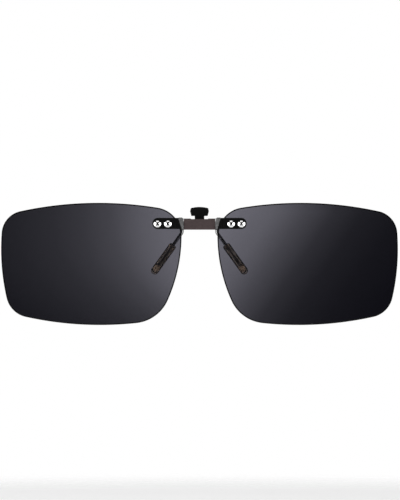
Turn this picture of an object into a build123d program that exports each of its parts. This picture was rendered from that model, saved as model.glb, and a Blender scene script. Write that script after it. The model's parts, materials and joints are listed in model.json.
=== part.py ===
from build123d import *
import os

# Clip-on sunglasses with flip-up lenses, in millimetres.
# Everything is built about the centre of the bridge bar: +X is to the right as seen from the
# front, +Y runs back towards the spectacles and +Z is up. save() then moves each piece so that
# the origin is the middle of the grip, halfway between the front and rear sleeves.

# Grip
GRIP_GAP_Y, GRIP_MID_Z = 3.575, -11.7     # plane between the sleeves, mid-height of the sleeves

# Lenses: one spherical shell for each side, with its crown towards the front
LENS_RADIUS, LENS_THICKNESS = 265.0, 1.1
LENS_CROWN = (11.0, -0.347, -13.3)
LENS_CORNERS = [(65.45, 2.98), (63.09, -29.77), (14.19, -32.07), (6.55, 4.02)]   # before rounding
LENS_CORNER_RADII = [7.9, 8.4, 12.9, 9.45]
LENS_SIDE_MIDDLES = [(66.15, -13.45), (38.9, -33.52), (7.1, -14.6), (36.4, 7.07)]

# Brackets and rivets
PLATE_TOP, PLATE_BOTTOM, PLATE_END_X = 2.08, -1.65, 15.75
PLATE_SLANT = [(5.9, PLATE_BOTTOM), (7.0, PLATE_TOP)]
PLATE_STEP_X, PLATE_THICKNESS, PLATE_NECK_THICKNESS = 8.1, 0.65, 0.5
RIVET_PLACES = [(10.55, 0.0), (14.0, 0.0)]
RIVET_SHANK, RIVET_HEAD, RIVET_HEAD_HEIGHT, RIVET_TAIL = 0.55, 1.16, 0.45, 0.95
BUSHING_RADIUS, WASHER_RADIUS, WASHER_THICKNESS = 0.9, 1.35, 0.3
WASHER_SEAT = LENS_THICKNESS / 2 + 0.004  # the washer's rim meets the hollow side of the lens

# Flip hinge
FLIP_Y, FLIP_Z, SHAFT_RADIUS, SHAFT_HALF = 1.2, 0.35, 0.6, 6.7
CAM_SIDE, CAM_HALF, CAM_ROUNDING = 1.5, 2.5, 0.18
KNUCKLE_INNER, KNUCKLE_OUTER, KNUCKLE_RADIUS = 5.35, 6.4, 1.6

# Housing, the bridge bar
BAR_HALF, BAR_HALF_HEIGHT, BAR_FRONT, BAR_WALL = 5.25, 1.86, -0.6, 0.45
BAR_TOP_DEPTH, BAR_BOTTOM_DEPTH = 2.4, 2.0
NOTCH_HALF, NOTCH_DEPTH, LEVER_CLEARANCE_Y = 2.9, 0.18, 0.9
RUNNING_CLEARANCE = 0.04

# Jaws
JAW_Y, JAW_Z, PIN_RADIUS, HUB_HALF, CHEEK_END_RADIUS = 3.65, -0.2, 0.5, 1.6, 1.15
STRIP_HALF, STRIP_TOP, STRIP_DEPTH = 6.4, -1.4, 1.2
FRONT_ARM_Y, REAR_ARM_Y = 2.2, 4.95
LEVER_HALF, LEVER_BACK, LEVER_PLATE, LEVER_TOP = 5.6, 5.4, 0.45, 1.2

# Arms and sleeves
ARM_RADIUS, ARM_X, ARM_BEND_Z, ARM_BEND_RADIUS = 0.55, 5.8, -2.8, 1.6
ARM_SLOPE = 0.7155                        # sideways run for each millimetre of drop
SLEEVE_RADIUS, SLEEVE_TOP_Z, SLEEVE_BOTTOM_Z, SLEEVE_SHOULDER = 1.3, -6.85, -15.5, 0.75
FRONT_SLEEVE_SHORTER = 0.5

# Knob
KNOB_HALF, KNOB_STEM_HALF, KNOB_THICKNESS, KNOB_FOOT = 3.15, 1.6, 1.5, LEVER_TOP
KNOB_UNDERSIDE, KNOB_SHOULDER, KNOB_CROWN = 2.73, 5.35, 5.75
TONGUE_HALF, TONGUE_THICKNESS, TONGUE_TOP = 1.05, 0.7, 4.4

# Springs
LEAF_THICKNESS, LEAF_HALF_WIDTH, LEAF_HALF_HEIGHT = 0.12, 2.2, 1.15
COIL_WIRE, COIL_RADIUS, COIL_PITCH, COIL_START_X = 0.16, 0.74, 0.38, 1.85
COIL_FRONT_DIP, COIL_REAR_RISE = 10, 75   # degrees: the legs' slopes, forwards and down, back and up
COIL_TURNS = 6 + (COIL_REAR_RISE - COIL_FRONT_DIP) / 360
COIL_FRONT_LEG, COIL_REAR_LEG = 1.5, 1.4


def save(name, shape):
    """Write one node, moved so that the origin is the middle of the grip."""
    export_step(Pos(0, -GRIP_GAP_Y, -GRIP_MID_Z) * shape, f"parts/{name}.step")


def save_pair(name, right_shape):
    """Write a right-hand piece and its mirror image."""
    save(f"{name}_right", right_shape)
    save(f"{name}_left", mirror(right_shape, Plane.YZ))


def both_sides(right_shape):
    return Compound(right_shape.solids() + mirror(right_shape, Plane.YZ).solids())


def prism(outline, front, back):
    """Push an outline drawn in X and Z through from the plane y=front to y=back."""
    return Pos(0, back, 0) * extrude(Plane.XZ * outline, amount=back - front)


def block(x0, x1, y0, y1, z0, z1):
    return Pos((x0 + x1) / 2, (y0 + y1) / 2, (z0 + z1) / 2) * Box(x1 - x0, y1 - y0, z1 - z0)


def rod(radius, y, z, x0, x1):
    """A round bar along X."""
    return Pos((x0 + x1) / 2, y, z) * Rot(0, 90, 0) * Cylinder(radius, x1 - x0)


def lens_layer(rear, front):
    """The space between two spheres about the lens's centre, offset from its middle surface."""
    centre = Pos(LENS_CROWN[0], LENS_CROWN[1] + LENS_RADIUS, LENS_CROWN[2])
    return centre * (Sphere(LENS_RADIUS + front) - Sphere(LENS_RADIUS + rear))


def on_lens(x, z):
    """A place on the lens's middle surface, with its local Z along the outward normal."""
    centre = Vector(LENS_CROWN[0], LENS_CROWN[1] + LENS_RADIUS, LENS_CROWN[2])
    flat = (x - centre.X) ** 2 + (z - centre.Z) ** 2
    point = Vector(x, centre.Y - (LENS_RADIUS**2 - flat) ** 0.5, z)
    return Plane(origin=point, x_dir=(1, 0, 0), z_dir=point - centre)


def at_rivets(make):
    """The same turned piece at each rivet of both lenses."""
    pieces = Compound([solid for x, z in RIVET_PLACES for solid in (on_lens(x, z) * make()).solids()])
    return both_sides(pieces)


def lens():
    sides = []
    for i, middle in enumerate(LENS_SIDE_MIDDLES):
        sides.append(ThreePointArc(LENS_CORNERS[i], middle, LENS_CORNERS[(i + 1) % 4]))
    outline = make_face(Wire(sides))
    for corner, radius in zip(LENS_CORNERS, LENS_CORNER_RADII):
        vertex = outline.vertices().sort_by_distance((corner[0], corner[1], 0))[0]
        outline = fillet(vertex, radius)
    half = LENS_THICKNESS / 2
    shape = prism(outline, -4, 12) & lens_layer(-half, half)
    for x, z in RIVET_PLACES:
        shape -= on_lens(x, z) * Cylinder(BUSHING_RADIUS, 4)
    return shape


def bracket():
    middle_z = (PLATE_TOP + PLATE_BOTTOM) / 2
    end_radius = (PLATE_TOP - PLATE_BOTTOM) / 2
    end_x = PLATE_END_X - end_radius
    outline = make_face(
        Polyline((end_x, PLATE_TOP), PLATE_SLANT[1], PLATE_SLANT[0], (end_x, PLATE_BOTTOM))
        + ThreePointArc((end_x, PLATE_BOTTOM), (PLATE_END_X, middle_z), (end_x, PLATE_TOP))
    )
    seat = LENS_THICKNESS / 2
    shape = prism(outline, -4, 4) & lens_layer(seat, seat + PLATE_THICKNESS)
    neck = block(5, PLATE_STEP_X, -4, 4, -3, 3) & lens_layer(seat + PLATE_NECK_THICKNESS, seat + 2)
    shape -= neck
    for x, z in RIVET_PLACES:
        shape -= on_lens(x, z) * Cylinder(RIVET_SHANK, 6)
    return shape


def rivet():
    """A domed head with a round pit in front, a shank, and a closed tail behind the washer."""
    seat = LENS_THICKNESS / 2 + PLATE_THICKNESS
    top = seat + RIVET_HEAD_HEIGHT
    back = -WASHER_SEAT - WASHER_THICKNESS
    pit_radius, pit_floor = 0.36, seat + 0.12
    outline = make_face(
        Polyline((0, pit_floor), (0, back - 0.35), (0.6, back - 0.35), (RIVET_TAIL, back - 0.12),
                 (RIVET_TAIL, back), (RIVET_SHANK, back), (RIVET_SHANK, seat), (RIVET_HEAD, seat),
                 (RIVET_HEAD, seat + 0.1))
        + ThreePointArc((RIVET_HEAD, seat + 0.1), (0.97, top - 0.12), (0.62, top))
        + Polyline((0.62, top), (pit_radius, top - 0.06), (pit_radius, pit_floor), (0, pit_floor))
    )
    return revolve(Plane.XZ * outline, Axis.Z)


def ring(outer, inner, low, high):
    return Pos(0, 0, (low + high) / 2) * (Cylinder(outer, high - low) - Cylinder(inner, high - low))


def knuckle():
    """The hinge ear, with a flange in front that butts against the bracket's slanted end."""
    (low_x, low_z), (high_x, high_z) = PLATE_SLANT
    face = make_face(Polyline((KNUCKLE_INNER, low_z), (low_x, low_z), (high_x, high_z), (high_x, 2.2),
                              (5.85, 2.2), (KNUCKLE_INNER, 1.75), close=True))
    seat = LENS_THICKNESS / 2
    flange = prism(face, -4, 4) & lens_layer(seat, seat + 0.42)
    ear = rod(KNUCKLE_RADIUS, FLIP_Y, FLIP_Z, KNUCKLE_INNER, KNUCKLE_OUTER)
    web = block(KNUCKLE_INNER, KNUCKLE_OUTER - 0.1, -0.5, FLIP_Y, FLIP_Z - 1.3, FLIP_Z + 1.3)
    root = block(KNUCKLE_INNER, low_x - 0.05, -0.75, FLIP_Y, FLIP_Z - 1.3, FLIP_Z + 1.3)
    shape = flange + ear + web + root
    return shape - rod(SHAFT_RADIUS, FLIP_Y, FLIP_Z, 5, 7)


def flip_shaft():
    return chamfer(rod(SHAFT_RADIUS, FLIP_Y, FLIP_Z, -SHAFT_HALF, SHAFT_HALF).edges(), 0.12)


def detent_cam():
    """A square sleeve: one flat faces the leaf spring with the lenses down, the next with them up."""
    square = RectangleRounded(CAM_SIDE, CAM_SIDE, CAM_ROUNDING)
    bar = Pos(-CAM_HALF, FLIP_Y, FLIP_Z) * extrude(Plane.YZ * square, amount=2 * CAM_HALF)
    return bar - rod(SHAFT_RADIUS, FLIP_Y, FLIP_Z, -3, 3)


def housing():
    """A folded channel: front wall, lips above and below, and two cheeks that carry both axles."""
    top, inside = BAR_HALF_HEIGHT, BAR_HALF_HEIGHT - BAR_WALL
    shell = block(-BAR_HALF, BAR_HALF, BAR_FRONT, JAW_Y, -top, top)
    front_edges = shell.edges().group_by(Axis.Y)[0]
    shell = fillet(front_edges, 0.3)
    shell += rod(CHEEK_END_RADIUS, JAW_Y, JAW_Z, -BAR_HALF, BAR_HALF)
    room = BAR_HALF - BAR_WALL
    shell -= block(-room, room, BAR_FRONT + BAR_WALL, 6, -inside, inside)
    shell -= block(-room, room, BAR_TOP_DEPTH, 6, 0, 3)
    shell -= block(-room, room, BAR_BOTTOM_DEPTH, 6, -3, 0)
    shell -= block(-NOTCH_HALF, NOTCH_HALF, -2, 6, top - NOTCH_DEPTH, 3)
    shell -= block(-NOTCH_HALF, NOTCH_HALF, LEVER_CLEARANCE_Y, 6, 1, 3)
    shell -= strip(FRONT_ARM_Y)
    shell -= rod(SHAFT_RADIUS + RUNNING_CLEARANCE, FLIP_Y, FLIP_Z, -6, 6)
    return shell - rod(PIN_RADIUS, JAW_Y, JAW_Z, -6, 6)


def strip(middle_y):
    """The flat strip that joins the tops of two arms."""
    half = STRIP_DEPTH / 2
    return block(-STRIP_HALF, STRIP_HALF, middle_y - half, middle_y + half, -BAR_HALF_HEIGHT, STRIP_TOP)


def jaw_pin():
    pin = rod(PIN_RADIUS, JAW_Y, JAW_Z, -BAR_HALF, BAR_HALF)
    for x in (-BAR_HALF - 0.1, BAR_HALF + 0.1):
        pin += rod(0.7, JAW_Y, JAW_Z, x - 0.1, x + 0.1)
    return pin


def lever():
    """Back plate, hub on the jaw pin, and the tongue that the knob is moulded round."""
    front = JAW_Y - 0.7
    shape = block(-LEVER_HALF, LEVER_HALF, LEVER_BACK - LEVER_PLATE, LEVER_BACK, STRIP_TOP, LEVER_TOP)
    shape = fillet(shape.edges().filter_by(Axis.Y).group_by(Axis.Z)[-1], 0.8)
    shape += block(-HUB_HALF, HUB_HALF, front, LEVER_BACK - 0.1, -0.9, LEVER_TOP)
    shape += block(-TONGUE_HALF, TONGUE_HALF, JAW_Y - TONGUE_THICKNESS / 2,
                   JAW_Y + TONGUE_THICKNESS / 2, 0, TONGUE_TOP)
    shape -= rod(PIN_RADIUS + RUNNING_CLEARANCE, JAW_Y, JAW_Z, -3, 3)
    return shape


def knob():
    """A T-shaped grip with a domed top, moulded over the lever's tongue."""
    half = KNOB_THICKNESS / 2
    right = [(0, KNOB_FOOT), (KNOB_STEM_HALF, KNOB_FOOT), (KNOB_STEM_HALF, KNOB_UNDERSIDE),
             (2.72, KNOB_UNDERSIDE), (KNOB_HALF, 4.3), (2.9, KNOB_SHOULDER)]
    left = [(-x, z) for x, z in reversed(right[1:])]
    outline = make_face(
        Polyline(*left, *right[1:])
        + ThreePointArc(right[-1], (0, KNOB_CROWN), left[0])
    )
    corners = outline.vertices().filter_by(lambda v: v.Y > 2.7 and abs(v.X) > 2)
    outline = fillet(corners, 0.3)
    shape = prism(outline, JAW_Y - half, JAW_Y + half)
    shape = fillet(shape.faces().sort_by(Axis.Y)[0].edges() + shape.faces().sort_by(Axis.Y)[-1].edges(), 0.22)
    return shape - block(-TONGUE_HALF, TONGUE_HALF, JAW_Y - TONGUE_THICKNESS / 2,
                         JAW_Y + TONGUE_THICKNESS / 2, 1, TONGUE_TOP)


def arm_line(y, z):
    """A point of the slanted run that an arm and its sleeve share."""
    return (ARM_X + (ARM_BEND_Z - z) * ARM_SLOPE, y, z)


def arm(y, sleeve_bottom):
    """A wire that drops from its strip, bends outwards and runs down the middle of its sleeve."""
    tip = arm_line(y, sleeve_bottom + 1.4)
    path = FilletPolyline((ARM_X, y, -BAR_HALF_HEIGHT), (ARM_X, y, ARM_BEND_Z), tip,
                          radius=ARM_BEND_RADIUS)
    return sweep(Plane(origin=path @ 0, z_dir=path % 0) * Circle(ARM_RADIUS), path=path)


def sleeve(y, bottom):
    """A soft sleeve with a rounded tip and a shouldered mouth, bored for its wire."""
    mouth, tip = Vector(arm_line(y, SLEEVE_TOP_Z)), Vector(arm_line(y, bottom))
    length = (tip - mouth).length
    body = Pos(0, 0, length / 2) * Cylinder(SLEEVE_RADIUS, length)
    body = fillet(body.edges().group_by(Axis.Z)[0], SLEEVE_SHOULDER)
    body += Pos(0, 0, length) * Sphere(SLEEVE_RADIUS)
    return Plane(origin=mouth, z_dir=tip - mouth) * body - arm(y, bottom)


def detent_spring():
    """A bowed leaf between the front wall and the cam."""
    wall = BAR_FRONT + BAR_WALL + 0.02
    crest = FLIP_Y - CAM_SIDE / 2 - 0.03 - LEAF_THICKNESS
    ends = [(wall, -LEAF_HALF_HEIGHT), (wall, LEAF_HALF_HEIGHT)]
    outline = make_face(
        ThreePointArc(ends[0], (crest, 0), ends[1])
        + Line(ends[1], (wall + LEAF_THICKNESS, LEAF_HALF_HEIGHT))
        + ThreePointArc((wall + LEAF_THICKNESS, LEAF_HALF_HEIGHT), (crest + LEAF_THICKNESS, 0),
                        (wall + LEAF_THICKNESS, -LEAF_HALF_HEIGHT))
        + Line((wall + LEAF_THICKNESS, -LEAF_HALF_HEIGHT), ends[0])
    )
    return Pos(-LEAF_HALF_WIDTH, 0, 0) * extrude(Plane.YZ * outline, amount=2 * LEAF_HALF_WIDTH)


def torsion_spring():
    """A coil round the jaw pin: one leg bears on the front strip, the other on the back plate."""
    coil = Helix(COIL_PITCH, COIL_PITCH * COIL_TURNS, COIL_RADIUS)
    front_leg = Line(coil @ 0 - (coil % 0) * COIL_FRONT_LEG, coil @ 0)
    rear_leg = Line(coil @ 1, coil @ 1 + (coil % 1) * COIL_REAR_LEG)
    path = Wire([front_leg.edge(), coil.edge(), rear_leg.edge()])
    wire = sweep(Plane(origin=path @ 0, z_dir=path % 0) * Circle(COIL_WIRE), path=path, is_frenet=True)
    return Pos(COIL_START_X, JAW_Y, JAW_Z) * Rot(COIL_FRONT_DIP, 0, 0) * Rot(0, 90, 0) * wire


os.makedirs("parts", exist_ok=True)

save_pair("lens", lens())
save_pair("bracket", bracket())
save_pair("knuckle", knuckle())
save("lens_rivets", at_rivets(rivet))
half_lens = LENS_THICKNESS / 2
save("lens_bushings", at_rivets(lambda: ring(BUSHING_RADIUS, RIVET_SHANK, -half_lens, half_lens)))
save("rear_washers", at_rivets(lambda: ring(WASHER_RADIUS, RIVET_SHANK,
                                            -WASHER_SEAT - WASHER_THICKNESS, -WASHER_SEAT)))
save("flip_shaft", flip_shaft())
save("detent_cam", detent_cam())
save("detent_spring", detent_spring())

save("housing", housing())
save("front_jaw_plate", strip(FRONT_ARM_Y))
save("jaw_pin", jaw_pin())
save("rear_jaw_plate", strip(REAR_ARM_Y))
save("lever", lever())
save("knob", knob())
save_pair("torsion_spring", torsion_spring())

front_bottom = SLEEVE_BOTTOM_Z + FRONT_SLEEVE_SHORTER
for place, y, bottom in (("front", FRONT_ARM_Y, front_bottom), ("rear", REAR_ARM_Y, SLEEVE_BOTTOM_Z)):
    save_pair(f"{place}_arm", arm(y, bottom))
    save_pair(f"{place}_sleeve", sleeve(y, bottom))
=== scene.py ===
import json
import math

import bmesh
import bpy
from mathutils import Matrix, Vector
from mathutils.geometry import delaunay_2d_cdt

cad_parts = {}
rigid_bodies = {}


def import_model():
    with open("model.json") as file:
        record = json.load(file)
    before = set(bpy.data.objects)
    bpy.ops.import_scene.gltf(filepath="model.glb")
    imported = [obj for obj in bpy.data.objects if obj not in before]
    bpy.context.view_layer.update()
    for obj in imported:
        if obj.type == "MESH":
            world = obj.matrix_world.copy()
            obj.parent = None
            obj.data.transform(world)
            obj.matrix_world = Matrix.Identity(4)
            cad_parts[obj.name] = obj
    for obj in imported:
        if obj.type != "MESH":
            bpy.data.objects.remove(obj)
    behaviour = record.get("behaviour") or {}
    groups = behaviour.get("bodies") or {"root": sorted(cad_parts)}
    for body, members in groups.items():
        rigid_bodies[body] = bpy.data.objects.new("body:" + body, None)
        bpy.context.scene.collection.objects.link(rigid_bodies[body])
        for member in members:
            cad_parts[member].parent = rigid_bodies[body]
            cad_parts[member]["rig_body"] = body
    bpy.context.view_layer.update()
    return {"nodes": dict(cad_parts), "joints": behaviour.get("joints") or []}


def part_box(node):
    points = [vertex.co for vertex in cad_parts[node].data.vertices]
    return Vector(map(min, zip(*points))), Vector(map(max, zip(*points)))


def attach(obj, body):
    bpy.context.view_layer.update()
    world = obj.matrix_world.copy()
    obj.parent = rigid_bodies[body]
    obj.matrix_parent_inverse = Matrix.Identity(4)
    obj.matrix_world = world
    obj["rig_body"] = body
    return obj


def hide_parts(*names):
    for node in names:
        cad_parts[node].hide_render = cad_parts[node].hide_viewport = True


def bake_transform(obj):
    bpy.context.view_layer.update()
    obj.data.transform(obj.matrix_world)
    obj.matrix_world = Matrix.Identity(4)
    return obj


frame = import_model()

# Lengths in this script are in millimetres from the centre of the bridge bar; at() turns them into
# metres in the frame. X is to the right seen from the front, Y runs back and Z is up.
MM = 0.001
BAR_FRONT = -0.6
bar_low, bar_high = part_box("housing")
BAR = Vector((0, bar_low.y - BAR_FRONT * MM, (bar_low.z + bar_high.z) / 2))
HINGES = {joint["name"]: (Vector(joint["pos_m"]) - BAR) / MM for joint in frame["joints"]}

# Lenses
LENS_RADIUS, LENS_THICKNESS = 265.0, 1.1
LENS_CROWN = (11.0, -0.347, -13.3)
LENS_CORNERS = [(65.45, 2.98), (63.09, -29.77), (14.19, -32.07), (6.55, 4.02)]
LENS_CORNER_RADII = [7.9, 8.4, 12.9, 9.45]
LENS_SIDE_MIDDLES = [(66.15, -13.45), (38.9, -33.52), (7.1, -14.6), (36.4, 7.07)]
LENS_BEVEL, LENS_GRID, LENS_BORE = 0.4, 1.4, 0.9
RIVET_PLACES = [(10.55, 0.0), (14.0, 0.0)]

# Brackets
PLATE_TOP, PLATE_BOTTOM, PLATE_END_X = 2.08, -1.65, 15.75
PLATE_LOW_X, PLATE_HIGH_X, PLATE_STEP_X = 5.9, 7.0, 8.1
PLATE_THICKNESS, PLATE_NECK, PLATE_BEVEL, PLATE_GRID = 0.65, 0.5, 0.12, 0.3
PLATE_STEP_HALF, PLATE_STEP_ROWS = 0.03, 16       # the step from the neck up to the full thickness
WASHER_SEAT, WASHER_THICKNESS, WASHER_RADIUS = 0.554, 0.3, 1.35
RIVET_SHANK, RIVET_HEAD, RIVET_HEAD_HEIGHT, RIVET_TAIL = 0.55, 1.16, 0.45, 0.95
TAIL_LENGTH, TAIL_ROUND, PIT_LIP, PIT_RADIUS = 0.35, 0.2, 0.44, 0.4

# Arms, sleeves and springs
ARM_RADIUS, ARM_X, ARM_TOP_Z, ARM_BEND_Z, ARM_BEND_RADIUS = 0.55, 5.8, -1.86, -2.8, 1.6
ARM_SLOPE = 0.7155
SLEEVE_RADIUS, SLEEVE_TOP_Z, SLEEVE_SHOULDER, BORE_CLEARANCE = 1.3, -6.85, 0.7, 0.01
FRONT_ARM_Y, FRONT_SLEEVE_BOTTOM = 2.2, -15.0
REAR_ARM_Y, REAR_SLEEVE_BOTTOM = 4.95, -15.5
COIL_WIRE, COIL_RADIUS, COIL_PITCH, COIL_START_X = 0.16, 0.74, 0.38, 1.85
COIL_FRONT_DIP, COIL_REAR_RISE = 10, 75
COIL_TURNS = 6 + (COIL_REAR_RISE - COIL_FRONT_DIP) / 360
COIL_FRONT_LEG, COIL_REAR_LEG = 1.5, 1.4
WIRE_TIP_GAP = 1.4                # height of a wire's tip above its sleeve's tip

# Knob
KNOB_THICKNESS, KNOB_BEVEL, KNOB_GRID = 1.5, 0.3, 0.2
KNOB_OUTLINE = [(1.6, 1.2), (1.6, 2.73), (2.72, 2.73), (3.15, 4.3), (2.9, 5.35)]
KNOB_CROWN = 5.75

# Tint and painted reflection: millimetres along its gradient, and the share of the light that the lens
# lets through there
GRADIENT_START_X, GRADIENT_TOP_Z, GRADIENT_LOW_Z = 12.0, 4.0, -33.0
# The levels hold the lens's own gradient tint and a painted reflection of the studio lights; the left
# levels differ from the right by painted side lighting.
RIGHT_TINT_AND_REFLECTION_LEVELS = [(0, 0.142), (13, 0.106), (23, 0.06), (33, 0.026), (43, 0.012), (55, 0.0065), (70, 0.0035)]
LEFT_TINT_AND_REFLECTION_LEVELS = [(0, 0.123), (8, 0.096), (17, 0.058), (27, 0.037), (37, 0.0245), (50, 0.016), (66, 0.009)]

# Studio
FLOOR_DROP, FLOOR_RADIUS = 95.0, 320.0
CAMERA_DISTANCE, CAMERA_LENS, SENSOR = 1852.0, 400.0, 36.0
VIEW_X, VIEW_Z = 0.17, -8.63
LIGHT_AIM = (0, 0, -5)
SOFT_BOXES = [("left_box", (-410, -290, 30), (380, 420), 3.0),    # name, place, size and watts
              ("right_box", (410, -290, 30), (380, 420), 2.4),
              ("top_box", (0, -260, 440), (420, 200), 0.4)]


def at(x, y, z):
    """A point given in millimetres from the bar's centre, in metres in the frame."""
    return BAR + Vector((x, y, z)) * MM


# ---------------------------------------------------------------- mesh tools

GRID_GAP, GRID_ROW = 0.45, 0.866     # in grid steps: least distance to an edge's point, row height
BEVEL_STEPS = 4


def mesh_piece(name, bm, materials, crease=35):
    """A mesh object from a bmesh, smooth except at edges sharper than crease degrees."""
    bmesh.ops.recalc_face_normals(bm, faces=bm.faces)
    for e in bm.edges:
        if len(e.link_faces) == 2 and e.calc_face_angle() > math.radians(crease):
            e.smooth = False
    mesh = bpy.data.meshes.new(name)
    bm.to_mesh(mesh)
    bm.free()
    for material in materials:
        mesh.materials.append(material)
    mesh.polygons.foreach_set("use_smooth", [True] * len(mesh.polygons))
    piece = bpy.data.objects.new(name, mesh)
    bpy.context.scene.collection.objects.link(piece)
    return piece


def settle(piece, body, slot, *nodes):
    """Says what a finished piece rides on and the CAD nodes that it stands for; slot, for its finish, is
    not used.
    """
    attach(piece, body)
    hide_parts(*nodes)
    return piece


def add_rings(bm, rings):
    """Joins closed rings of points, each as long as the last, with quads."""
    layers = [[bm.verts.new(p) for p in ring] for ring in rings]
    count = len(layers[0])
    for low, high in zip(layers, layers[1:]):
        for i in range(count):
            j = (i + 1) % count
            bm.faces.new((low[i], low[j], high[j], high[i]))
    return layers


def frame_along(direction):
    """Two unit vectors square to a direction."""
    side = Vector((1, 0, 0)) if abs(direction.x) < 0.9 else Vector((0, 1, 0))
    first = direction.cross(side).normalized()
    return first, direction.cross(first)


def ring_round(middle, first, second, radius, count):
    """A circle of points in metres about a middle, its radius in millimetres."""
    angles = [2 * math.pi * k / count for k in range(count)]
    return [middle + (first * math.cos(a) + second * math.sin(a)) * radius * MM for a in angles]


def add_turned(bm, profile, foot, direction, segments=64):
    """Turns a profile of (distance along, radius) in millimetres round an axis; radius 0 closes it."""
    first, second = frame_along(direction)
    rings = [ring_round(foot + direction * along * MM, first, second, max(radius, 1e-4), segments)
             for along, radius in profile]
    layers = add_rings(bm, rings)
    for layer in (layers[0], layers[-1]):
        bm.faces.new(layer)


def arc(centre_along, centre_radius, radius, start, end, steps=8):
    """Points of a turned profile on an arc, its angles in degrees from along to outwards."""
    angles = [math.radians(start + (end - start) * k / steps) for k in range(steps + 1)]
    return [(centre_along + radius * math.cos(a), centre_radius + radius * math.sin(a)) for a in angles]


def cap_points(low, wide, high, narrow, steps):
    """Points of a turned profile on a ball about the axis, from a wide ring up to a narrow one."""
    centre = (high**2 + narrow**2 - low**2 - wide**2) / (2 * (high - low))
    ball = math.hypot(wide, low - centre)
    start, end = math.atan2(wide, low - centre), math.atan2(narrow, high - centre)
    angles = [start + (end - start) * k / steps for k in range(1, steps + 1)]
    return [(centre + ball * math.cos(a), ball * math.sin(a)) for a in angles]


def add_tube(bm, path, radius, sides=24):
    """A round wire along a path of points in metres, its frame carried along without twist."""
    directions = []
    for i in range(len(path)):
        before, after = path[max(i - 1, 0)], path[min(i + 1, len(path) - 1)]
        directions.append((after - before).normalized())
    first = frame_along(directions[0])[0]
    rings = []
    for point, direction in zip(path, directions):
        first = (first - direction * first.dot(direction)).normalized()
        rings.append(ring_round(point, first, direction.cross(first), radius, sides))
    layers = add_rings(bm, rings)
    for layer in (layers[0], layers[-1]):
        bm.faces.new(layer)


def rounded_corner(before, corner, after, radius, steps=14):
    """Points on the arc that rounds one corner of a path."""
    a, b = (before - corner).normalized(), (after - corner).normalized()
    half = a.angle(b) / 2
    reach = radius * MM / math.tan(half)
    middle = corner + (a + b).normalized() * radius * MM / math.sin(half)
    start, end = corner + a * reach - middle, corner + b * reach - middle
    turn = start.angle(end)
    return [middle + (start * math.sin(turn * (1 - t)) + end * math.sin(turn * t)) / math.sin(turn)
            for t in (k / steps for k in range(steps + 1))]


def spaced(points, spacing):
    """A closed polyline of 2D points, divided evenly."""
    count = len(points)
    lengths = [(points[(i + 1) % count] - points[i]).length for i in range(count)]
    total = sum(lengths)
    pieces = max(12, round(total / spacing))
    out, i, passed = [], 0, 0.0
    for k in range(pieces):
        goal = total * k / pieces
        while passed + lengths[i] < goal:
            passed += lengths[i]
            i += 1
        share = (goal - passed) / max(lengths[i], 1e-12)
        out.append(points[i].lerp(points[(i + 1) % count], share))
    return out


def inwards(loop, distance):
    """A closed loop of 2D points moved towards its inside, the loop running anticlockwise."""
    count, moved = len(loop), []
    for i in range(count):
        along = (loop[(i + 1) % count] - loop[i - 1]).normalized()
        moved.append(loop[i] + Vector((-along.y, along.x)) * distance)
    return moved


def anticlockwise(loop):
    """A closed loop of 2D points, turned round if it runs clockwise."""
    area = sum(a.x * b.y - b.x * a.y for a, b in zip(loop, loop[1:] + loop[:1]))
    return loop if area > 0 else loop[::-1]


def circle(x, z, radius, count=40):
    """A closed loop of 2D points."""
    angles = [2 * math.pi * k / count for k in range(count)]
    return [Vector((x + radius * math.cos(a), z + radius * math.sin(a))) for a in angles]


def grid_inside(fixed, loop, grid):
    """Points in staggered rows over a loop's box, kept clear of the fixed ones."""
    xs, zs = [p.x for p in loop], [p.y for p in loop]
    spots, row, z = [], 0, min(zs) + grid
    while z < max(zs):
        x = min(xs) + grid * (0.5 + 0.5 * (row % 2))
        while x < max(xs):
            spot = Vector((x, z))
            if all((spot - p).length > grid * GRID_GAP for p in fixed):
                spots.append(spot)
            x += grid
        z += grid * GRID_ROW
        row += 1
    return spots


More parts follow.
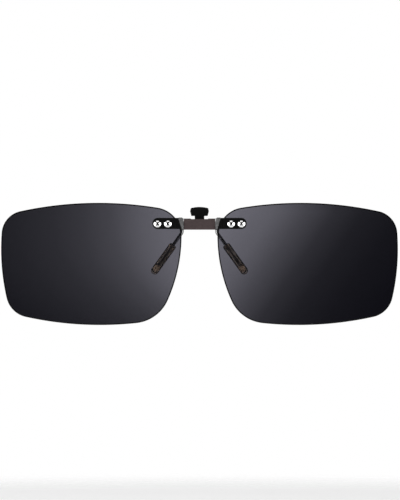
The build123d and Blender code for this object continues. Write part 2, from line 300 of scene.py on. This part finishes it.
def add_slab(bm, outline, place, rear, front, bevel, grid, holes=(), rim_material=0, creases=()):
    """A plate between two surfaces: an outline in X and Z, rounded edges, a rim and round holes.

    place(x, z, offset) gives a point in metres. rear is an offset, and front an offset or a
    function of x. creases are open rows of 2D points that the mesh's edges follow.
    """
    front_at = front if callable(front) else lambda x: front
    loop = anticlockwise(outline)
    inner = inwards(loop, bevel)
    loops = [inner] + [circle(*hole) for hole in holes]
    points, edges, starts = [], [], []
    for ring in loops:
        first = len(points)
        starts.append(first)
        points += ring
        edges += [(first + i, first + (i + 1) % len(ring)) for i in range(len(ring))]
    for crease in creases:
        edges += [(len(points) + i, len(points) + i + 1) for i in range(len(crease) - 1)]
        points += crease
    points += grid_inside(points, inner, grid)
    flat, _, faces, origins, _, _ = delaunay_2d_cdt(points, edges, [], 1, 1e-7)
    caps = set()
    index_of = {source: i for i, sources in enumerate(origins) for source in sources}
    fronts = [bm.verts.new(place(p.x, p.y, front_at(p.x))) for p in flat]
    rears = [bm.verts.new(place(p.x, p.y, rear)) for p in flat]
    for face in faces:
        middle = sum((flat[i] for i in face), Vector((0, 0))) / len(face)
        if all((middle - Vector(hole[:2])).length > hole[2] for hole in holes):
            caps.add(bm.faces.new([fronts[i] for i in face]))
            caps.add(bm.faces.new([rears[i] for i in reversed(face)]))

    def join(low, high, material):
        for i in range(len(low)):
            j = (i + 1) % len(low)
            face = bm.faces.new((low[i], low[j], high[j], high[i]))
            face.material_index = material

    layer = [fronts[index_of[i]] for i in range(len(inner))]
    quarter = [math.radians(90 * k / BEVEL_STEPS) for k in range(1, BEVEL_STEPS + 1)]
    profile = [(bevel * (1 - math.sin(a)), lambda x, a=a: front_at(x) - bevel * (1 - math.cos(a)))
               for a in quarter]
    profile += [(bevel * (1 - math.sin(a)), lambda x, a=a: rear + bevel * (1 - math.cos(a)))
                for a in reversed(quarter)]
    for inset, offset in profile:
        ring = inwards(loop, inset)
        fresh = [bm.verts.new(place(p.x, p.y, offset(p.x))) for p in ring]
        join(layer, fresh, rim_material)
        layer = fresh
    join(layer, [rears[index_of[i]] for i in range(len(inner))], rim_material)
    for start, ring in zip(starts[1:], loops[1:]):
        ids = [index_of[start + i] for i in range(len(ring))]
        join([fronts[i] for i in ids], [rears[i] for i in ids], rim_material)
    for e in bm.edges:
        if sum(face in caps for face in e.link_faces) == 1:
            e.smooth = False
    bmesh.ops.delete(bm, geom=[v for v in bm.verts if not v.link_faces], context="VERTS")


def softened(node, name, width, material, slot):
    """A copy of a CAD node with its flat faces cleaned and its edges rounded from 35 degrees up."""
    bm = bmesh.new()
    bm.from_mesh(frame["nodes"][node].data)
    bmesh.ops.remove_doubles(bm, verts=bm.verts, dist=1e-7)
    bmesh.ops.dissolve_limit(bm, angle_limit=math.radians(0.5), verts=bm.verts, edges=bm.edges)
    piece = mesh_piece(name, bm, [material], 180)
    modifier = piece.modifiers.new("edges", "BEVEL")
    modifier.width, modifier.segments, modifier.limit_method = width * MM, 3, "ANGLE"
    modifier.angle_limit, modifier.harden_normals = math.radians(35), True
    body = frame["nodes"][node]["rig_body"]
    return settle(piece, body, slot, node)


# ---------------------------------------------------------------- materials

def new_material(name):
    material = bpy.data.materials.new(name)
    material.use_nodes = True
    nodes, links = material.node_tree.nodes, material.node_tree.links
    return material, nodes, links, nodes["Principled BSDF"]


def coordinates(nodes, links, stretch=(1, 1, 1)):
    """Object coordinates in metres, stretched."""
    place = nodes.new("ShaderNodeTexCoord")
    mapping = nodes.new("ShaderNodeMapping")
    mapping.inputs["Scale"].default_value = stretch
    links.new(place.outputs["Object"], mapping.inputs["Vector"])
    return mapping.outputs["Vector"]


def noise(nodes, links, vector, scale, detail=4, roughness=0.55):
    texture = nodes.new("ShaderNodeTexNoise")
    texture.inputs["Scale"].default_value = scale
    texture.inputs["Detail"].default_value = detail
    texture.inputs["Roughness"].default_value = roughness
    links.new(vector, texture.inputs["Vector"])
    return texture.outputs["Fac"]


def ramp(nodes, links, value, stops):
    """Colours along a value from 0 to 1, as pairs of position and colour."""
    node = nodes.new("ShaderNodeValToRGB")
    elements = node.color_ramp.elements
    while len(elements) < len(stops):
        elements.new(0.5)
    for element, (position, colour) in zip(elements, stops):
        element.position, element.color = position, (*colour, 1)
    links.new(value, node.inputs["Fac"])
    return node.outputs["Color"]


def spread(nodes, links, value, low, high):
    """Maps a noise value, which lies mostly between 0.3 and 0.7, onto a range."""
    node = nodes.new("ShaderNodeMapRange")
    node.inputs["From Min"].default_value, node.inputs["From Max"].default_value = 0.3, 0.7
    node.inputs["To Min"].default_value, node.inputs["To Max"].default_value = low, high
    links.new(value, node.inputs["Value"])
    return node.outputs["Result"]


def bump(nodes, links, height, distance, strength, bsdf):
    """Relief of up to distance millimetres on a shader."""
    node = nodes.new("ShaderNodeBump")
    node.inputs["Distance"].default_value = distance * MM
    node.inputs["Strength"].default_value = strength
    links.new(height, node.inputs["Height"])
    links.new(node.outputs["Normal"], bsdf.inputs["Normal"])


def grey(value):
    return (value, value, value)


def tint_and_reflection_lens(name, side, drop, bend, levels):
    """Smoke plastic whose tint, with a painted reflection of the studio lights in it, deepens outwards
    from the nose,
    and downwards by drop mm of the gradient for each mm of height; bend gathers the drop near the bottom.
    levels holds pairs:
    distance along the gradient in mm, and the share of the light let through."""
    material, nodes, links, bsdf = new_material(name)
    bsdf.inputs["Transmission Weight"].default_value = 1.0
    bsdf.inputs["IOR"].default_value = 1.5
    place = nodes.new("ShaderNodeTexCoord")
    split = nodes.new("ShaderNodeSeparateXYZ")
    links.new(place.outputs["Object"], split.inputs["Vector"])
    length, depth = levels[-1][0], GRADIENT_TOP_Z - GRADIENT_LOW_Z
    low = nodes.new("ShaderNodeMapRange")
    low.inputs["From Min"].default_value = at(0, 0, GRADIENT_TOP_Z).z
    low.inputs["From Max"].default_value = at(0, 0, GRADIENT_LOW_Z).z
    links.new(split.outputs["Z"], low.inputs["Value"])
    bent = nodes.new("ShaderNodeMath")
    bent.operation = "POWER"
    bent.inputs[1].default_value = bend
    links.new(low.outputs["Result"], bent.inputs[0])
    downward = nodes.new("ShaderNodeMath")
    downward.operation = "MULTIPLY_ADD"
    downward.inputs[1].default_value = drop * depth / length
    downward.inputs[2].default_value = -GRADIENT_START_X / length
    links.new(bent.outputs[0], downward.inputs[0])
    outward = nodes.new("ShaderNodeMath")
    outward.operation = "MULTIPLY_ADD"
    outward.inputs[1].default_value = side / MM / length
    links.new(split.outputs["X"], outward.inputs[0])
    links.new(downward.outputs[0], outward.inputs[2])
    # Painted reflection: these stops darken the lens outwards and downwards, partly as its own gradient
    # tint and partly as painted reflection of the studio lights.
    stops = [(distance / length, (level, level * 0.98, level * 1.15 + 0.002))
             for distance, level in levels]
    links.new(ramp(nodes, links, outward.outputs[0], stops), bsdf.inputs["Base Color"])
    haze = spread(nodes, links, noise(nodes, links, coordinates(nodes, links), 900), 0.0, 0.03)
    links.new(haze, bsdf.inputs["Roughness"])
    return material


def ground_edge():
    """The lens's ground rim: fine parallel grinding marks, nearly black."""
    material, nodes, links, bsdf = new_material("lens_edge")
    vector = coordinates(nodes, links, (1, 14, 1))
    grain = noise(nodes, links, vector, 2500, 6)
    links.new(ramp(nodes, links, grain, [(0.3, grey(0.002)), (0.75, grey(0.008))]),
              bsdf.inputs["Base Color"])
    bsdf.inputs["Specular IOR Level"].default_value = 0.12
    links.new(spread(nodes, links, grain, 0.4, 0.6), bsdf.inputs["Roughness"])
    bump(nodes, links, grain, 0.02, 0.5, bsdf)
    return material


def plated_metal(name, dark, light, roughness, stretch, scale, depth):
    """Plated metal with fine brushing along the direction that stretch leaves long."""
    material, nodes, links, bsdf = new_material(name)
    bsdf.inputs["Metallic"].default_value = 1.0
    brushed = noise(nodes, links, coordinates(nodes, links, stretch), scale, 5, 0.6)
    cloud = noise(nodes, links, coordinates(nodes, links), 420, 3)
    mixed = nodes.new("ShaderNodeMath")
    mixed.operation = "MULTIPLY_ADD"
    mixed.inputs[1].default_value = 0.5
    links.new(brushed, mixed.inputs[0])
    half = nodes.new("ShaderNodeMath")
    half.operation = "MULTIPLY"
    half.inputs[1].default_value = 0.5
    links.new(cloud, half.inputs[0])
    links.new(half.outputs[0], mixed.inputs[2])
    links.new(ramp(nodes, links, mixed.outputs[0], [(0.32, dark), (0.68, light)]),
              bsdf.inputs["Base Color"])
    links.new(spread(nodes, links, brushed, roughness[0], roughness[1]), bsdf.inputs["Roughness"])
    bump(nodes, links, brushed, depth, 0.6, bsdf)
    return material


def black_enamel():
    """Black enamel with a slight orange peel."""
    material, nodes, links, bsdf = new_material("black_enamel")
    vector = coordinates(nodes, links)
    peel = noise(nodes, links, vector, 1600, 2)
    dust = noise(nodes, links, vector, 6000, 6)
    links.new(ramp(nodes, links, dust, [(0.35, grey(0.0015)), (0.7, grey(0.004))]),
              bsdf.inputs["Base Color"])
    links.new(spread(nodes, links, dust, 0.26, 0.32), bsdf.inputs["Roughness"])
    bsdf.inputs["Specular IOR Level"].default_value = 0.22
    bump(nodes, links, peel, 0.01, 0.3, bsdf)
    return material


def knob_plastic():
    """Black plastic with a fine spark-eroded grain."""
    material, nodes, links, bsdf = new_material("knob_plastic")
    vector = coordinates(nodes, links)
    grain = noise(nodes, links, vector, 7000, 3)
    links.new(ramp(nodes, links, grain, [(0.3, grey(0.001)), (0.72, grey(0.004))]),
              bsdf.inputs["Base Color"])
    bsdf.inputs["Specular IOR Level"].default_value = 0.08
    links.new(spread(nodes, links, grain, 0.42, 0.52), bsdf.inputs["Roughness"])
    bump(nodes, links, grain, 0.015, 0.5, bsdf)
    return material


def smoke_rubber():
    """Clear smoke-brown soft plastic with faint flow clouds; its wall looks darker edge on."""
    material, nodes, links, bsdf = new_material("smoke_rubber")
    bsdf.inputs["Transmission Weight"].default_value = 1.0
    bsdf.inputs["IOR"].default_value = 1.43
    vector = coordinates(nodes, links)
    cloud = ramp(nodes, links, noise(nodes, links, vector, 500, 4),
                 [(0.3, (0.95, 0.79, 0.62)), (0.7, (1.0, 0.88, 0.72))])
    slant = nodes.new("ShaderNodeLayerWeight")
    slant.inputs["Blend"].default_value = 0.5
    wall = ramp(nodes, links, slant.outputs["Facing"], [(0.3, grey(1)), (0.48, grey(0.03))])
    tint = nodes.new("ShaderNodeMix")
    tint.data_type, tint.blend_type = "RGBA", "MULTIPLY"
    tint.inputs["Factor"].default_value = 1.0
    links.new(cloud, tint.inputs[6])
    links.new(wall, tint.inputs[7])
    links.new(tint.outputs[2], bsdf.inputs["Base Color"])
    links.new(spread(nodes, links, noise(nodes, links, vector, 3000, 5), 0.42, 0.58),
              bsdf.inputs["Roughness"])
    return material


def pit_shade_metal():
    """Painted shade: near-black metal in the bottom of a rivet's pit, standing in for the dark reflection
    that the pit shows.
    """
    material, nodes, links, bsdf = new_material("pit_shade_metal")
    bsdf.inputs["Metallic"].default_value = 1.0
    grain = noise(nodes, links, coordinates(nodes, links), 5000, 4)
    links.new(ramp(nodes, links, grain, [(0.3, grey(0.02)), (0.7, grey(0.06))]),
              bsdf.inputs["Base Color"])
    links.new(spread(nodes, links, grain, 0.4, 0.55), bsdf.inputs["Roughness"])
    return material


def nylon():
    """Clear nylon, slightly cloudy."""
    material, nodes, links, bsdf = new_material("nylon")
    vector = coordinates(nodes, links)
    cloud = noise(nodes, links, vector, 1500, 4)
    links.new(ramp(nodes, links, cloud, [(0.3, (0.5, 0.5, 0.47)), (0.7, (0.66, 0.66, 0.62))]),
              bsdf.inputs["Base Color"])
    bsdf.inputs["Transmission Weight"].default_value = 0.5
    links.new(spread(nodes, links, cloud, 0.25, 0.4), bsdf.inputs["Roughness"])
    return material


# The two lenses' levels and bends differ by painted side lighting as well as by tint.
right_glass = tint_and_reflection_lens("lens_tint_and_reflection_right", 1, 0.7, 1.0, RIGHT_TINT_AND_REFLECTION_LEVELS)
left_glass = tint_and_reflection_lens("lens_tint_and_reflection_left", -1, 0.68, 2.4, LEFT_TINT_AND_REFLECTION_LEVELS)
edge = ground_edge()
gunmetal = plated_metal("bridge_gunmetal", (0.088, 0.067, 0.067), (0.118, 0.091, 0.09), (0.46, 0.54),
                        (1, 4, 8), 900, 0.004)
nickel = plated_metal("grey_nickel", grey(0.19), grey(0.26), (0.4, 0.5), (1, 4, 4), 1100, 0.003)
wire_nickel = plated_metal("wire_nickel", grey(0.19), grey(0.26), (0.3, 0.4), (8, 8, 1), 1500, 0.003)
polished = plated_metal("polished_steel", grey(0.7), grey(0.84), (0.08, 0.16), (1, 1, 1), 2500, 0.002)
spring_steel = plated_metal("spring_steel", grey(0.42), grey(0.58), (0.2, 0.3), (6, 1, 6), 1600, 0.004)
enamel = black_enamel()
plastic = knob_plastic()
rubber = smoke_rubber()
clear = nylon()
pit_shade = pit_shade_metal()


# ---------------------------------------------------------------- lenses and their fastenings

def lens_place(side):
    """Points over X and Z on a sphere offset from a lens's middle surface."""
    centre = Vector((LENS_CROWN[0] * side, LENS_CROWN[1] + LENS_RADIUS, LENS_CROWN[2]))

    def place(x, z, offset):
        flat = (x - centre.x) ** 2 + (z - centre.z) ** 2
        return at(x, centre.y - math.sqrt((LENS_RADIUS + offset) ** 2 - flat), z)

    return place


def lens_axis(side, x, z):
    """A point of a lens's middle surface, and the outward normal there."""
    foot = lens_place(side)(side * x, z, 0)
    centre = at(LENS_CROWN[0] * side, LENS_CROWN[1] + LENS_RADIUS, LENS_CROWN[2])
    return foot, (foot - centre).normalized()


def arc_through(a, b, c):
    """The centre and radius of the circle through three 2D points."""
    ab, bc = b - a, c - b
    turn = 2 * (ab.x * bc.y - ab.y * bc.x)
    da, dc = b.dot(b) - a.dot(a), c.dot(c) - b.dot(b)
    centre = Vector(((bc.y * da - ab.y * dc) / turn, (ab.x * dc - bc.x * da) / turn))
    return centre, (a - centre).length


def sweep_arc(centre, start, end, spacing):
    """Points on the short way round an arc, without its last."""
    a, b = start - centre, end - centre
    turn = math.atan2(a.x * b.y - a.y * b.x, a.dot(b))
    steps = max(2, round(abs(turn) * a.length / spacing))
    spins = [Matrix.Rotation(turn * k / steps, 2) for k in range(steps)]
    return [centre + spin @ a for spin in spins]


def lens_outline(spacing=0.3):
    """The right lens's outline: four bowed sides, joined by round corners that touch both."""
    corners = [Vector(p) for p in LENS_CORNERS]
    middles = [Vector(p) for p in LENS_SIDE_MIDDLES]
    circles = [arc_through(corners[i], middles[i], corners[(i + 1) % 4]) for i in range(4)]
    joints = []
    for i, (corner, radius) in enumerate(zip(corners, LENS_CORNER_RADII)):
        (c1, r1), (c2, r2) = circles[i - 1], circles[i]
        apart = c2 - c1
        along = (apart.length_squared + (r1 - radius) ** 2 - (r2 - radius) ** 2) / (2 * apart.length)
        height = math.sqrt((r1 - radius) ** 2 - along**2)
        foot, across = c1 + apart.normalized() * along, apart.orthogonal().normalized() * height
        middle = min((foot + across, foot - across), key=lambda p: (p - corner).length)
        joints.append((middle, c1 + (middle - c1).normalized() * r1, c2 + (middle - c2).normalized() * r2))
    outline = []
    for i, (middle, start, end) in enumerate(joints):
        outline += sweep_arc(middle, start, end, spacing)
        outline += sweep_arc(circles[i][0], end, joints[(i + 1) % 4][1], spacing)
    return outline


def lens(side, name, glass):
    """A curved lens with a ground rim and two bores."""
    outline = [Vector((side * p.x, p.y)) for p in lens_outline()]
    bm = bmesh.new()
    half = LENS_THICKNESS / 2
    holes = [(side * x, z, LENS_BORE) for x, z in RIVET_PLACES]
    add_slab(bm, outline, lens_place(side), -half, half, LENS_BEVEL, LENS_GRID, holes, rim_material=1)
    piece = mesh_piece(f"smoke_{name}", bm, [glass, edge])
    return settle(piece, "flip_front", "smoke_lens", name)


def bracket(side, name):
    """A plate on a lens's front, round at its outer end and thinner beyond a step at its inner end."""
    middle, radius = (PLATE_TOP + PLATE_BOTTOM) / 2, (PLATE_TOP - PLATE_BOTTOM) / 2
    angles = [math.radians(-90 + 180 * k / 24) for k in range(25)]
    end = [Vector((PLATE_END_X - radius + radius * math.cos(a), middle + radius * math.sin(a)))
           for a in angles]
    corners = [Vector((PLATE_HIGH_X, PLATE_TOP)), Vector((PLATE_LOW_X, PLATE_BOTTOM))]
    outline = [Vector((side * p.x, p.y)) for p in spaced(end + corners, PLATE_BEVEL)]
    seat = LENS_THICKNESS / 2

    def front(x):
        return seat + (PLATE_THICKNESS if abs(x) > PLATE_STEP_X else PLATE_NECK)

    margin = 1.5 * PLATE_BEVEL
    length = PLATE_TOP - PLATE_BOTTOM - 2 * margin
    heights = [PLATE_BOTTOM + margin + length * k / PLATE_STEP_ROWS for k in range(PLATE_STEP_ROWS + 1)]
    creases = [[Vector((side * (PLATE_STEP_X + shift), z)) for z in heights]
               for shift in (-PLATE_STEP_HALF, PLATE_STEP_HALF)]
    bm = bmesh.new()
    holes = [(side * x, z, RIVET_SHANK, 32) for x, z in RIVET_PLACES]
    add_slab(bm, outline, lens_place(side), seat, front, PLATE_BEVEL, PLATE_GRID, holes, creases=creases)
    return settle(mesh_piece(f"plate_{name}", bm, [enamel]), "flip_front", "black_metal", name)


def rivet(side, x, z, name):
    """A domed head with a pit, a shank and a closed tail, square to the lens."""
    foot, outward = lens_axis(side, x, z)
    seat = LENS_THICKNESS / 2 + PLATE_THICKNESS
    top = seat + RIVET_HEAD_HEIGHT
    back = -WASHER_SEAT - WASHER_THICKNESS
    end = back - TAIL_LENGTH
    head = [(end, 0), (end, RIVET_SHANK)]
    head += arc(end + TAIL_ROUND, RIVET_TAIL - TAIL_ROUND, TAIL_ROUND, 180, 90, 5)
    head += [(back, RIVET_TAIL), (back, RIVET_SHANK), (seat, RIVET_SHANK), (seat, RIVET_HEAD - 0.04)]
    head += [(seat + 0.04, RIVET_HEAD), (seat + 0.1, RIVET_HEAD)]
    head += cap_points(seat + 0.1, RIVET_HEAD, top - 0.02, PIT_LIP, 14)
    head += [(top - 0.04, PIT_RADIUS)]
    hollow = [(top - 0.14, 0.37), (seat + 0.2, 0.35), (seat + 0.13, 0.28), (seat + 0.12, 0)]
    bm = bmesh.new()
    add_turned(bm, head + hollow, foot, outward)
    for face in bm.faces:
        middle = face.calc_center_median() - foot
        along = middle.dot(outward)
        # Painted shade: faces within the pit's radius, on the head's side, get the near-black pit
        # material.
        face.material_index = int((middle - outward * along).length < PIT_RADIUS * MM and along > 0)
    return settle(mesh_piece(name, bm, [polished, pit_shade]), "flip_front", "polished_steel", "lens_rivets")


def washer(side, x, z, name):
    """A round-edged ring on the rivet's shank, against the lens's hollow side."""
    foot, outward = lens_axis(side, x, z)
    front, back, edge_round = -WASHER_SEAT, -WASHER_SEAT - WASHER_THICKNESS, 0.08
    profile = [(front, RIVET_SHANK + 0.01)]
    profile += arc(front - edge_round, WASHER_RADIUS - edge_round, edge_round, 0, 90, 5)
    profile += arc(back + edge_round, WASHER_RADIUS - edge_round, edge_round, 90, 180, 5)
    profile += [(back, RIVET_SHANK + 0.01), (front, RIVET_SHANK + 0.01)]
    bm = bmesh.new()
    first, second = frame_along(outward)
    add_rings(bm, [ring_round(foot + outward * along * MM, first, second, radius, 64)
                   for along, radius in profile])
    bmesh.ops.remove_doubles(bm, verts=bm.verts, dist=1e-8)
    return settle(mesh_piece(name, bm, [clear]), "flip_front", "clear_nylon", "rear_washers")


for side, hand, glass in ((1, "right", right_glass), (-1, "left", left_glass)):
    lens(side, f"lens_{hand}", glass)
    bracket(side, f"bracket_{hand}")
    for (x, z), spot in zip(RIVET_PLACES, ("inner", "outer")):
        rivet(side, x, z, f"rivet_{hand}_{spot}")
        washer(side, x, z, f"washer_{hand}_{spot}")
    softened(f"knuckle_{hand}", f"hinge_ear_{hand}", 0.09, nickel, "plated_steel")


# ---------------------------------------------------------------- bar, lever and knob

def axle(name, hinge, profile, body, node):
    """A turned bar about a hinge's axis, its profile given for the right half."""
    both = [(-along, radius) for along, radius in reversed(profile)] + profile
    bm = bmesh.new()
    add_turned(bm, both, at(0, hinge.y, hinge.z), Vector((1, 0, 0)), 48)
    return settle(mesh_piece(name, bm, [nickel]), body, "plated_steel", node)


def knob():
    """The T-shaped grip: its outline, evened out and then smoothed, with rounded edges."""
    half = KNOB_THICKNESS / 2
    right = [Vector(p) for p in KNOB_OUTLINE]
    rise = KNOB_CROWN - KNOB_OUTLINE[-1][1]
    shoulder = KNOB_OUTLINE[-1][0]
    top = [Vector((shoulder * (1 - 2 * k / 24), 0)) for k in range(25)]
    for p in top:
        p.y = KNOB_OUTLINE[-1][1] + rise * (1 - (p.x / shoulder) ** 2)
    left = [Vector((-p.x, p.y)) for p in reversed(right)]
    corners = right[:-1] + top + left[1:]
    loop = anticlockwise(spaced(corners, 0.06))
    for _ in range(5):
        loop = [(loop[i - 1] + loop[i] * 2 + loop[(i + 1) % len(loop)]) / 4 for i in range(len(loop))]
    bm = bmesh.new()
    hinge = HINGES["jaw_open"]
    add_slab(bm, loop, lambda x, z, offset: at(x, hinge.y - offset, z), -half, half, KNOB_BEVEL, KNOB_GRID)
    return settle(mesh_piece("lever_knob", bm, [plastic]), "rear_jaw", "black_plastic", "knob")


knob()
softened("housing", "bridge_bar", 0.1, gunmetal, "bridge_metal")
softened("lever", "jaw_lever", 0.07, nickel, "plated_steel")
softened("front_jaw_plate", "front_strip", 0.05, nickel, "plated_steel")
softened("rear_jaw_plate", "rear_strip", 0.05, nickel, "plated_steel")
softened("detent_cam", "square_cam", 0.04, nickel, "plated_steel")
SHAFT_END = [(6.45, 0.6), (6.58, 0.57), (6.66, 0.48), (6.7, 0.3), (6.7, 0)]
PIN_END = [(5.25, 0.5), (5.25, 0.66), (5.29, 0.7), (5.36, 0.7), (5.42, 0.62), (5.45, 0.4), (5.45, 0)]
axle("hinge_shaft", HINGES["lens_flip"], SHAFT_END, "flip_front", "flip_shaft")
axle("jaw_axle", HINGES["jaw_open"], PIN_END, "clip_base", "jaw_pin")


# ---------------------------------------------------------------- arms and sleeves

def run_point(side, y, z):
    """A point of the slanted run that an arm shares with its sleeve."""
    return at(side * (ARM_X + (ARM_BEND_Z - z) * ARM_SLOPE), y, z)


def arm(side, y, sleeve_bottom, name, body, node):
    """A wire: straight down, round a bend, then slanting outwards into its sleeve."""
    top, corner = at(side * ARM_X, y, ARM_TOP_Z), at(side * ARM_X, y, ARM_BEND_Z)
    tip = run_point(side, y, sleeve_bottom + WIRE_TIP_GAP)
    bend = rounded_corner(top, corner, tip, ARM_BEND_RADIUS)
    bm = bmesh.new()
    run = [bend[-1].lerp(tip, k / 8) for k in range(1, 9)]
    add_tube(bm, [top, top.lerp(bend[0], 0.5)] + bend + run, ARM_RADIUS, 32)
    return settle(mesh_piece(name, bm, [wire_nickel]), body, "plated_steel", node)


def sleeve(side, y, bottom, name, body, node):
    """A soft tube with a rounded tip and mouth, bored to fit its wire."""
    mouth, tip = run_point(side, y, SLEEVE_TOP_Z), run_point(side, y, bottom)
    length = (tip - mouth).length / MM
    bore = (run_point(side, y, bottom + WIRE_TIP_GAP) - mouth).length / MM
    wall = ARM_RADIUS + BORE_CLEARANCE
    profile = [(bore + 0.02, 0), (bore + 0.02, wall)] + [(bore * k / 8, wall) for k in range(7, 0, -1)]
    profile += [(0.05, wall), (0, wall + 0.04)]
    profile += arc(SLEEVE_SHOULDER, SLEEVE_RADIUS - SLEEVE_SHOULDER, SLEEVE_SHOULDER, 180, 90, 10)
    profile += [(length * k / 12, SLEEVE_RADIUS) for k in range(2, 12)]
    profile += arc(length, 0, SLEEVE_RADIUS, 90, 0, 18)
    bm = bmesh.new()
    add_turned(bm, profile, mouth, (tip - mouth).normalized(), 64)
    return settle(mesh_piece(name, bm, [rubber]), body, "smoke_rubber", node)


def coil(side, name, node):
    """A torsion coil on the jaw axle, its legs bearing on the front strip and the back plate."""
    angles = [2 * math.pi * COIL_TURNS * k / 300 for k in range(301)]
    path = [Vector((COIL_RADIUS * math.cos(a), COIL_RADIUS * math.sin(a), COIL_PITCH * a / (2 * math.pi)))
            for a in angles]
    start, end = (path[1] - path[0]).normalized(), (path[-1] - path[-2]).normalized()
    path = [path[0] - start * COIL_FRONT_LEG] + path + [path[-1] + end * COIL_REAR_LEG]
    turn = Matrix.Rotation(math.radians(COIL_FRONT_DIP), 3, "X") @ Matrix.Rotation(math.pi / 2, 3, "Y")
    hinge = HINGES["jaw_open"]
    points = []
    for point in path:
        x, y, z = turn @ point
        points.append(at(side * (COIL_START_X + x), hinge.y + y, hinge.z + z))
    bm = bmesh.new()
    add_tube(bm, points, COIL_WIRE, 12)
    piece = mesh_piece(name, bm, [spring_steel])
    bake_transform(piece)
    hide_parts(node)


for side, hand in ((1, "right"), (-1, "left")):
    for row, y, bottom, body in (("front", FRONT_ARM_Y, FRONT_SLEEVE_BOTTOM, "clip_base"),
                                 ("rear", REAR_ARM_Y, REAR_SLEEVE_BOTTOM, "rear_jaw")):
        arm(side, y, bottom, f"{row}_wire_{hand}", body, f"{row}_arm_{hand}")
        sleeve(side, y, bottom, f"{row}_grip_{hand}", body, f"{row}_sleeve_{hand}")
    coil(side, f"coil_{hand}", f"torsion_spring_{hand}")
for node, material in (("lens_bushings", clear), ("detent_spring", spring_steel)):
    frame["nodes"][node].data.materials.clear()
    frame["nodes"][node].data.materials.append(material)


# ---------------------------------------------------------------- studio

def soft_box(name, place, size, power):
    """A rectangular area light turned towards the object."""
    data = bpy.data.lights.new(name, "AREA")
    data.shape, data.size, data.size_y, data.energy = "RECTANGLE", size[0] * MM, size[1] * MM, power
    light = bpy.data.objects.new(name, data)
    light.location = at(*place)
    light.rotation_euler = (at(*LIGHT_AIM) - light.location).to_track_quat("-Z", "Y").to_euler()
    bpy.context.scene.collection.objects.link(light)
    return light


def flag_off_lenses(lights):
    """Keeps the soft boxes' own reflections off the lenses, as black flags would in a studio."""
    flagged = bpy.data.collections.new("flagged")
    for hand in ("right", "left"):
        flagged.objects.link(bpy.data.objects[f"smoke_lens_{hand}"])
    for entry in flagged.collection_objects:
        entry.light_linking.link_state = "EXCLUDE"
    for light in lights:
        light.light_linking.receiver_collection = flagged


def studio_world():
    """White all round as seen directly; its light is white from behind and dimmer from in front."""
    world = bpy.data.worlds.new("studio")
    bpy.context.scene.world = world
    world.use_nodes = True
    nodes, links = world.node_tree.nodes, world.node_tree.links
    background = nodes["Background"]
    place = nodes.new("ShaderNodeTexCoord")
    split = nodes.new("ShaderNodeSeparateXYZ")
    links.new(place.outputs["Generated"], split.inputs["Vector"])
    facing = nodes.new("ShaderNodeMapRange")
    facing.interpolation_type = "SMOOTHSTEP"
    facing.inputs["From Min"].default_value, facing.inputs["From Max"].default_value = 0.7, 0.95
    facing.inputs["To Min"].default_value, facing.inputs["To Max"].default_value = 0.05, 1.0
    links.new(split.outputs["Y"], facing.inputs["Value"])
    path = nodes.new("ShaderNodeLightPath")
    direct = nodes.new("ShaderNodeMath")
    direct.operation = "MAXIMUM"
    links.new(path.outputs["Is Camera Ray"], direct.inputs[0])
    links.new(path.outputs["Is Transmission Ray"], direct.inputs[1])
    strength = nodes.new("ShaderNodeMix")
    links.new(direct.outputs[0], strength.inputs["Factor"])
    links.new(facing.outputs["Result"], strength.inputs["A"])
    strength.inputs["B"].default_value = 1.0
    links.new(strength.outputs["Result"], background.inputs["Strength"])
    background.inputs["Color"].default_value = (1, 1, 1, 1)


def studio_floor():
    """A pale disc under the object that fades out into the white."""
    bm = bmesh.new()
    bmesh.ops.create_circle(bm, cap_ends=True, segments=96, radius=FLOOR_RADIUS * MM)
    material, nodes, links, bsdf = new_material("floor")
    place = nodes.new("ShaderNodeTexCoord")
    length = nodes.new("ShaderNodeVectorMath")
    length.operation = "LENGTH"
    links.new(place.outputs["Object"], length.inputs[0])
    fade = nodes.new("ShaderNodeMapRange")
    fade.interpolation_type = "SMOOTHSTEP"
    fade.inputs["From Min"].default_value, fade.inputs["From Max"].default_value = 0.1, 0.3
    fade.inputs["To Min"].default_value, fade.inputs["To Max"].default_value = 1.0, 0.0
    links.new(length.outputs["Value"], fade.inputs["Value"])
    links.new(fade.outputs["Result"], bsdf.inputs["Alpha"])
    bsdf.inputs["Base Color"].default_value = (0.9, 0.9, 0.9, 1)
    bsdf.inputs["Roughness"].default_value = 0.6
    bsdf.inputs["Emission Color"].default_value = (1, 1, 1, 1)
    bsdf.inputs["Emission Strength"].default_value = 0.4
    floor = mesh_piece("floor", bm, [material])
    floor.location = at(0, 0, -FLOOR_DROP)


def camera():
    """A long lens straight in front, as in the photograph."""
    data = bpy.data.cameras.new("camera")
    data.lens, data.sensor_width = CAMERA_LENS, SENSOR
    data.clip_start, data.clip_end = 0.01, 20
    eye = bpy.data.objects.new("camera", data)
    eye.location = at(VIEW_X, -CAMERA_DISTANCE, VIEW_Z)
    eye.rotation_euler = (math.pi / 2, 0, 0)
    bpy.context.scene.collection.objects.link(eye)
    bpy.context.scene.camera = eye


camera()
studio_world()
studio_floor()
flag_off_lenses([soft_box(*box) for box in SOFT_BOXES])
bpy.context.scene.view_settings.view_transform = "Standard"
